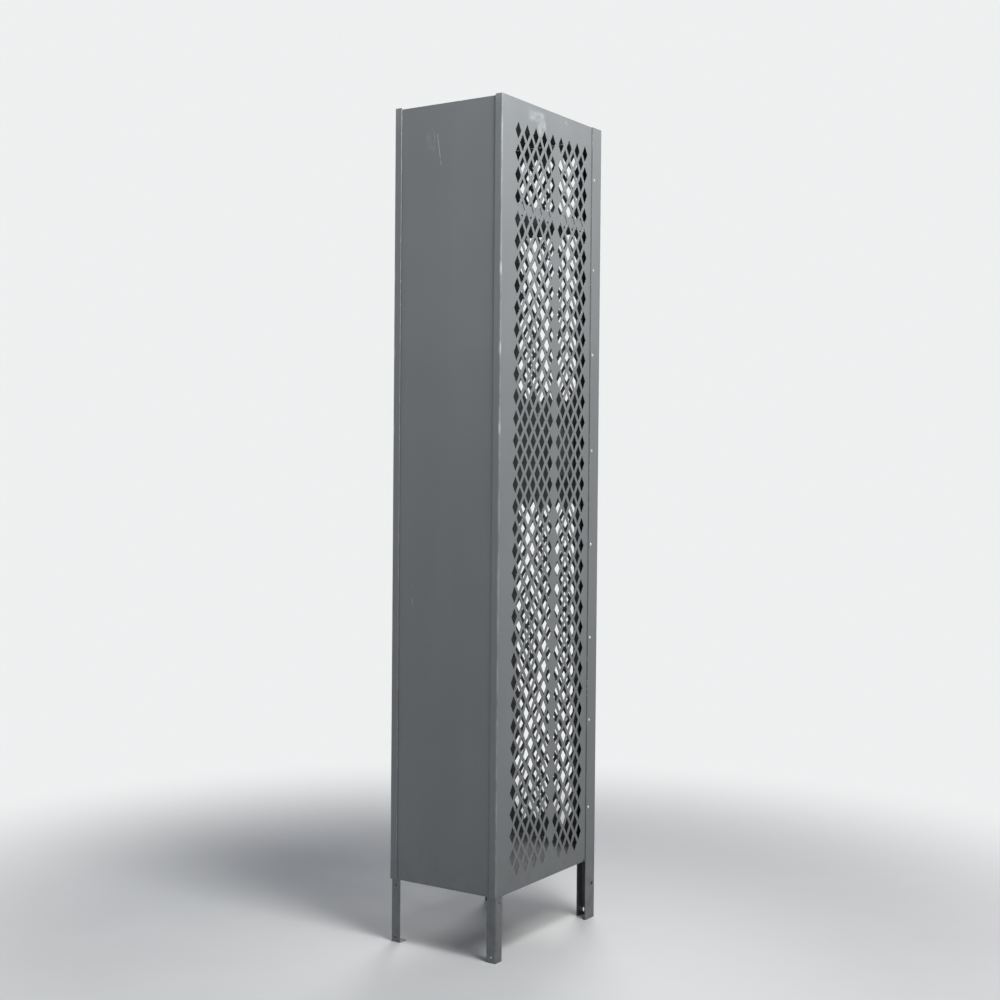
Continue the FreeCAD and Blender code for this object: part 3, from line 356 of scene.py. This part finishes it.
def metal(name, colour, dull, rough, grain, stretch=(1.0, 1.0, 1.0)):
    """Bare or plated metal with tone, roughness and grain from noise."""
    g = Graph(name)
    tone = g.smooth(g.noise(grain * 0.2, detail=4.0, stretch=stretch), 0.35, 0.7)
    lines = g.noise(grain, stretch=stretch, roughness=0.6)
    tint = g.cover(g.mix(tone, dull, colour), colour, g.edge(0.0006), strength=0.35)
    g.feed(g.shader.inputs["Base Color"], tint)
    g.feed(g.shader.inputs["Roughness"], g.math("MULTIPLY_ADD", lines, 0.22, rough))
    g.feed(g.shader.inputs["Normal"], g.bump(lines, 0.00002, g.rounded_normal(0.0004)))
    g.shader.inputs["Metallic"].default_value = 1.0
    return g.material


def nylon(name):
    """Natural nylon, slightly waxy."""
    g = Graph(name)
    tone = g.noise(90.0)
    g.feed(g.shader.inputs["Base Color"], g.mix(tone, NYLON_AGED, NYLON))
    g.feed(g.shader.inputs["Roughness"], g.math("MULTIPLY_ADD", tone, 0.2, 0.35))
    g.feed(g.shader.inputs["Normal"], g.bump(tone, 0.00004, g.rounded_normal(0.0006)))
    return g.material


def rubber(name):
    """Matt black rubber with dust in its grain."""
    g = Graph(name)
    grain = g.noise(500.0, detail=4.0)
    dust = g.smooth(g.noise(60.0, detail=4.0), 0.55, 0.8)
    g.feed(g.shader.inputs["Base Color"], g.cover(RUBBER, RUBBER_DUST, dust, strength=0.5))
    g.feed(g.shader.inputs["Roughness"], g.math("MULTIPLY_ADD", grain, 0.15, 0.68))
    g.feed(g.shader.inputs["Normal"], g.bump(grain, 0.00005, g.rounded_normal(0.0006)))
    return g.material


def make_materials():
    """One material for each finish of the object."""
    return {
        "side": enamel("side_enamel", side_marks),
        "back": enamel("back_enamel", back_marks),
        "body": enamel("inner_enamel", buried=3 * SKIN),
        "frame": enamel("frame_enamel", chips=MORE_CHIPS),
        "door": enamel("door_enamel"),
        "cup": enamel("cup_enamel", chips=MORE_CHIPS, buried=OUT_OF_REACH),
        "rivet": metal("rivet_aluminium", RIVET, RIVET_DULL, rough=0.22, grain=700.0),
        "zinc": metal("dull_zinc", ZINC, ZINC_DULL, rough=0.34, grain=300.0),
        "aluminium": metal("number_plate_aluminium", PLATE, PLATE_DULL, rough=0.42, grain=900.0,
                           stretch=(0.03, 1.0, 1.0)),
        "nylon": nylon("guide_nylon"),
        "rubber": rubber("bumper_rubber"),
    }


# Where one key starts another, the longer one stands first.
FINISH_OF_NODE = {
    "side_panel": "side",
    "back_panel": "back",
    "top_panel": "body",
    "hat_shelf": "body",
    "floor_panel": "body",
    "frame_rivets": "rivet",
    "frame_bumper": "rubber",
    "frame_": "frame",
    "rear_leg": "frame",
    "door_skin": "door",
    "handle_cup": "cup",
    "cup_rivets": "rivet",
    "padlock_staple": "zinc",
    "lift_handle": "zinc",
    "lock_bar_guide": "nylon",
    "lock_bar": "zinc",
    "latch_rivets": "rivet",
    "number_plate_rivets": "rivet",
    "number_plate": "aluminium",
    "hinge_rivets": "rivet",
    "hinge_frame_leaf": "frame",
    "hinge_door_leaf": "door",
    "hinge_pin": "zinc",
    "wall_hook": "zinc",
    "ceiling_hook_screw": "rivet",
    "ceiling_hook": "zinc",
}


def paint_nodes(materials):
    """Each CAD node gets the first finish whose key starts its name."""
    for name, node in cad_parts.items():
        finish = next(value for key, value in FINISH_OF_NODE.items() if name.startswith(key))
        node.data.materials.clear()
        node.data.materials.append(materials[finish])


# ---- Weld beads -------------------------------------------------------------------------------
# The blunt end is the least squared share of its radius that a bead keeps.
BEAD_R = 0.0012
BEAD_STEP = 0.0005
BEAD_SIDES = 10
RIPPLE_LENGTH = 0.0016
RIPPLE_DEPTH = 0.16
BLUNT_END = 0.04


def bead_radius(along, length):
    """Radius at a distance along the bead: rippled, and rounded off to a blunt end at both ends."""
    ripple = 1.0 - RIPPLE_DEPTH * abs(math.sin(math.pi * along / RIPPLE_LENGTH))
    from_end = min(along, length - along) / (2 * BEAD_R)
    return BEAD_R * ripple * math.sqrt(max(BLUNT_END, 1.0 - max(0.0, 1.0 - from_end) ** 2))


def bead_rings(edit, start, end):
    """Rings of vertices from the start of a bead to its end."""
    length = (end - start).length
    ahead = (end - start).normalized()
    side = ahead.orthogonal().normalized()
    up = ahead.cross(side)
    steps = round(length / BEAD_STEP)
    rings = []
    for index in range(steps + 1):
        along = length * index / steps
        radius = bead_radius(along, length)
        centre = start + ahead * along
        ring = []
        for corner in range(BEAD_SIDES):
            turn = 2 * math.pi * corner / BEAD_SIDES
            outward = side * math.cos(turn) + up * math.sin(turn)
            ring.append(edit.verts.new(centre + outward * radius))
        rings.append(ring)
    return rings


def weld_bead(name, body, start, end, material):
    """A closed rippled bead between two points, half sunk in the corner that it fills."""
    edit = bmesh.new()
    rings = bead_rings(edit, start, end)
    for ring, following in zip(rings, rings[1:]):
        for index in range(BEAD_SIDES):
            beside = (index + 1) % BEAD_SIDES
            edit.faces.new((ring[index], ring[beside], following[beside], following[index]))
    edit.faces.new(rings[0][::-1])
    edit.faces.new(rings[-1])
    bmesh.ops.recalc_face_normals(edit, faces=edit.faces)
    mesh = bpy.data.meshes.new(name)
    edit.to_mesh(mesh)
    edit.free()
    mesh.shade_smooth()
    mesh.materials.append(material)
    bead = bpy.data.objects.new(name, mesh)
    bpy.context.scene.collection.objects.link(bead)
    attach(bead, body)


def make_weld_beads(materials):
    """Beads that hold the hinge leaves and the strike hooks to the frame, and the staple."""
    inset = Vector((0.0, 0.0, 3 * BEAD_R))
    for place in ("bottom", "middle", "top"):
        low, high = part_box("hinge_frame_leaf_" + place)
        weld_bead("hinge_weld_" + place, "cabinet", Vector((high.x, high.y, low.z)) + inset,
                  high - inset, materials["frame"])
        low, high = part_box("frame_hook_" + place)
        weld_bead("hook_weld_" + place, "cabinet", Vector((low.x, high.y, low.z)) + inset,
                  Vector((low.x, high.y, high.z)) - inset, materials["frame"])
    low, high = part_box("padlock_staple")
    inward = Vector((2 * BEAD_R, 0.0, 0.0))
    for place, z in (("low", low.z), ("high", high.z)):
        weld_bead("staple_weld_" + place, "door", Vector((low.x, high.y, z)) + inward,
                  Vector((high.x, high.y, z)) - inward, materials["zinc"])


# ---- Studio -----------------------------------------------------------------------------------
# Angles are in degrees, the lens and the sensor in millimetres.
CAMERA_AT = (-2.017, 3.084, 1.131)
CAMERA_HEADING = 213.15
CAMERA_TILT = -1.18
CAMERA_ROLL = 0.49
LENS = 54.16
SENSOR = 36.0
SEEN_TO = 60.0

SURROUND = (0.86, 0.87, 0.875, 1.0)
AMBIENT = (0.112, 0.128, 0.165, 1.0)
WARM = (1.0, 0.99, 0.96)
WARMER = (1.0, 0.98, 0.95)
COOL = (0.97, 0.99, 1.0)
SKY = (0.78, 0.90, 1.0)

FLOOR_R = 14.0
FLOOR_GREY = (0.66, 0.66, 0.655, 1.0)
FLOOR_PALE = (0.71, 0.71, 0.705, 1.0)
FADE_FROM = 0.7
FADE_TO = 2.2


def make_camera():
    """Camera about chest high, behind the locker and off to the side of its -X panel."""
    data = bpy.data.cameras.new("camera")
    data.lens = LENS
    data.sensor_width = SENSOR
    data.clip_end = SEEN_TO
    camera = bpy.data.objects.new("camera", data)
    bpy.context.scene.collection.objects.link(camera)
    heading = math.radians(CAMERA_HEADING)
    tilt = math.radians(CAMERA_TILT)
    ahead = Vector((-math.sin(heading) * math.cos(tilt), math.cos(heading) * math.cos(tilt),
                    math.sin(tilt)))
    facing = ahead.to_track_quat("-Z", "Y").to_matrix().to_4x4()
    roll = Matrix.Rotation(math.radians(CAMERA_ROLL), 4, "Z")
    camera.matrix_world = Matrix.Translation(CAMERA_AT) @ facing @ roll
    bpy.context.scene.camera = camera


def area_light(name, position, target, size, watts, colour, spread=180.0):
    """A square soft box that faces a target."""
    data = bpy.data.lights.new(name, "AREA")
    data.shape = "SQUARE"
    data.size = size
    data.energy = watts
    data.color = colour
    data.spread = math.radians(spread)
    light = bpy.data.objects.new(name, data)
    bpy.context.scene.collection.objects.link(light)
    light.location = position
    facing = Vector(target) - Vector(position)
    light.rotation_euler = facing.to_track_quat("-Z", "Y").to_euler()


def make_lights():
    """Soft boxes beside the locker, over its rear corner, behind it and in front of it."""
    area_light("key", position=(-2.3, 0.75, 3.7), target=(-0.15, 0.2, 1.7), size=1.7,
               watts=78.0, colour=WARM)
    area_light("corner", position=(-1.05, 0.45, 2.7), target=(-0.15, 0.22, 1.8), size=0.5,
               watts=28.0, colour=COOL)
    area_light("fill", position=(2.2, 3.4, 2.6), target=(0.0, 0.2, 1.3), size=2.4,
               watts=8.0, colour=SKY)
    area_light("front", position=(1.1, -2.6, 2.0), target=(0.0, -0.2, 1.45), size=1.4,
               watts=11.0, colour=WARMER, spread=66.0)


def make_surround():
    """White all round for the eye and for reflections, dimmer for the light it sheds."""
    world = bpy.data.worlds.new("surround")
    bpy.context.scene.world = world
    world.use_nodes = True
    tree = world.node_tree
    seen = tree.nodes["Background"]
    seen.inputs["Color"].default_value = SURROUND
    ambient = tree.nodes.new("ShaderNodeBackground")
    ambient.inputs["Color"].default_value = AMBIENT
    path = tree.nodes.new("ShaderNodeLightPath")
    either = tree.nodes.new("ShaderNodeMath")
    either.operation = "MAXIMUM"
    tree.links.new(path.outputs["Is Camera Ray"], either.inputs[0])
    tree.links.new(path.outputs["Is Glossy Ray"], either.inputs[1])
    blend = tree.nodes.new("ShaderNodeMixShader")
    tree.links.new(either.outputs[0], blend.inputs[0])
    tree.links.new(ambient.outputs[0], blend.inputs[1])
    tree.links.new(seen.outputs[0], blend.inputs[2])
    tree.links.new(blend.outputs[0], tree.nodes["World Output"].inputs["Surface"])


def floor_material():
    """Pale grey that glows like the surround away from the object."""
    g = Graph("pale_floor")
    tone = g.smooth(g.noise(1.6, detail=6.0, roughness=0.6), 0.3, 0.7)
    g.feed(g.shader.inputs["Base Color"], g.mix(tone, FLOOR_GREY, FLOOR_PALE))
    g.feed(g.shader.inputs["Roughness"], g.math("MULTIPLY_ADD", tone, 0.1, 0.6))
    length = g.node("ShaderNodeVectorMath", operation="LENGTH")
    g.feed(length.inputs[0], g.position())
    glow = g.node("ShaderNodeEmission")
    glow.inputs["Color"].default_value = SURROUND
    blend = g.node("ShaderNodeMixShader")
    g.feed(blend.inputs[0], g.smooth(length.outputs["Value"], FADE_FROM, FADE_TO))
    g.feed(blend.inputs[1], g.shader.outputs[0])
    g.feed(blend.inputs[2], glow.outputs[0])
    g.feed(g.output.inputs[0], blend.outputs[0])
    return g.material


def make_floor():
    """Pale floor that fades into the surround."""
    mesh = bpy.data.meshes.new("floor")
    edit = bmesh.new()
    bmesh.ops.create_circle(edit, cap_ends=True, segments=96, radius=FLOOR_R)
    edit.to_mesh(mesh)
    edit.free()
    floor = bpy.data.objects.new("floor", mesh)
    bpy.context.scene.collection.objects.link(floor)
    floor.data.materials.append(floor_material())


def main():
    bpy.context.scene.view_settings.view_transform = "Standard"
    make_camera()
    materials = make_materials()
    paint_nodes(materials)
    make_weld_beads(materials)
    make_lights()
    make_surround()
    make_floor()


main()
